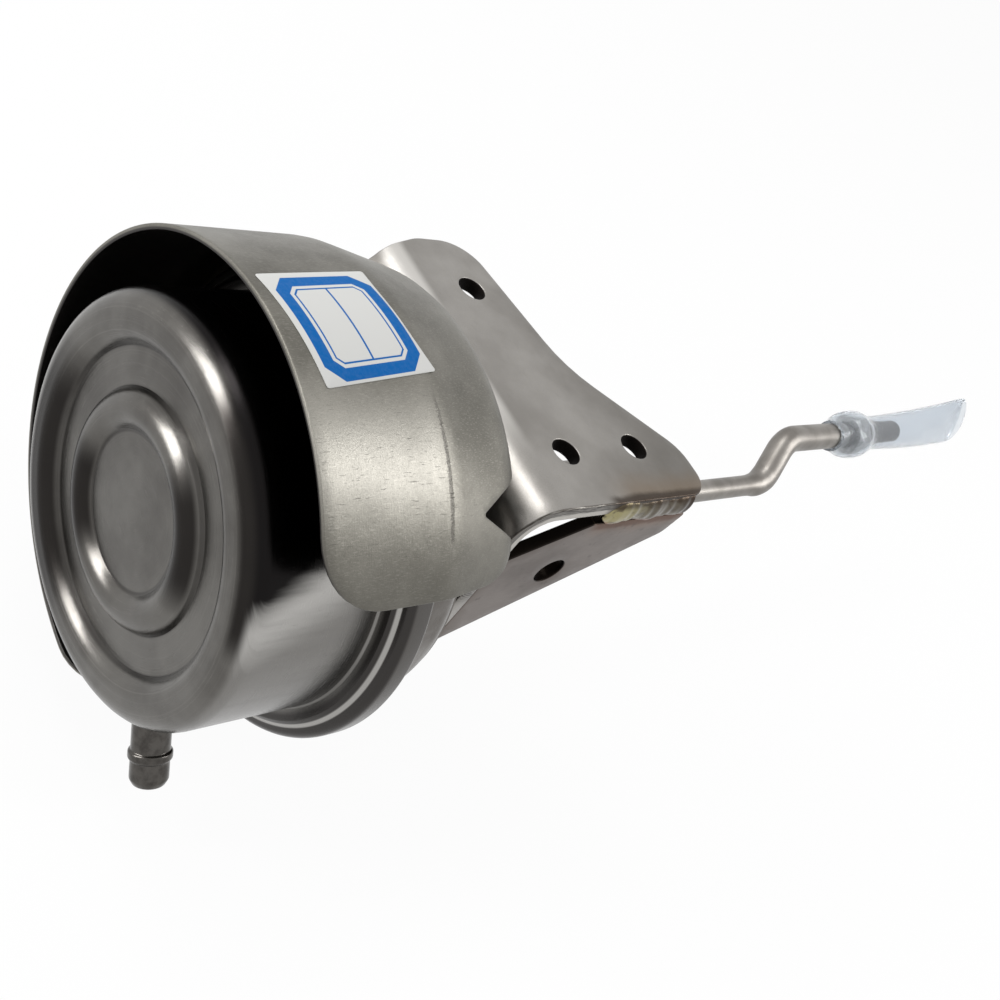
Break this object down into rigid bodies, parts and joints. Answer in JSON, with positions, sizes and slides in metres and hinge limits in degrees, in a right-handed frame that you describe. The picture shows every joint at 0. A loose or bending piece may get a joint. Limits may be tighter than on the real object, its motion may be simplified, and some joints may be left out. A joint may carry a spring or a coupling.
{
  "type": "turbo actuator",
  "caption": "Pneumatic wastegate actuator: steel can with heat shield, bent mounting bracket, gusset and cranked rod with a sleeved threaded end.",
  "frame": {"origin": "on the bracket's mounting face, midway between the two bolt holes near the gusset", "axes": "+X along the can's axis and the rod's travel, towards the threaded end; +Z out of the mounting face; -Y towards the gusset"},
  "size_m": [0.2817, 0.0853, 0.0891],
  "materials": {
    "drawn_steel": "turned satin",
    "machined_steel": "machined",
    "diaphragm_rubber": "matte",
    "plated_steel": "yellow zinc plated",
    "spring_steel": "oiled wire",
    "bronze": "sintered",
    "shield_steel": "satin with scratches",
    "label_paper": "printed paper",
    "bracket_steel": "satin with heat tint",
    "weld_steel": "heat tinted",
    "rod_steel": "ground",
    "clear_vinyl": "clear soft plastic"
  },
  "bodies": {
    "can": {"end_cup": "drawn_steel", "rear_housing": "drawn_steel", "hose_nipple": "machined_steel", "diaphragm": "diaphragm_rubber", "return_spring": "spring_steel", "spring_seat": "plated_steel", "guide_bush": "bronze", "mounting_studs": "machined_steel", "stud_washers": "machined_steel", "stud_nuts": "machined_steel", "heat_shield": "shield_steel", "label": "label_paper", "bracket": "bracket_steel", "gusset": "bracket_steel", "weld_beads": "weld_steel"},
    "rod": {"rod": "rod_steel", "piston_plate": "plated_steel", "retainer_washer": "plated_steel"},
    "jam_nut": {"jam_nut": "machined_steel"},
    "thread_sleeve": {"thread_sleeve": "clear_vinyl"}
  },
  "joints": [
    {"name": "rod_travel", "type": "slide", "parent": "can", "child": "rod", "axis": [1, 0, 0], "range_m": [0, 0.012], "stiffness_N_per_m": 4000, "deforming": ["diaphragm", "return_spring"]},
    {"name": "nut_turn", "type": "hinge", "parent": "rod", "child": "jam_nut", "pos_m": [0.14322, 0.01902, -0.02716], "axis": [1, 0, 0], "continuous": true},
    {"name": "sleeve_pull", "type": "slide", "parent": "rod", "child": "thread_sleeve", "axis": [1, 0, 0], "range_m": [0, 0.03]}
  ]
}
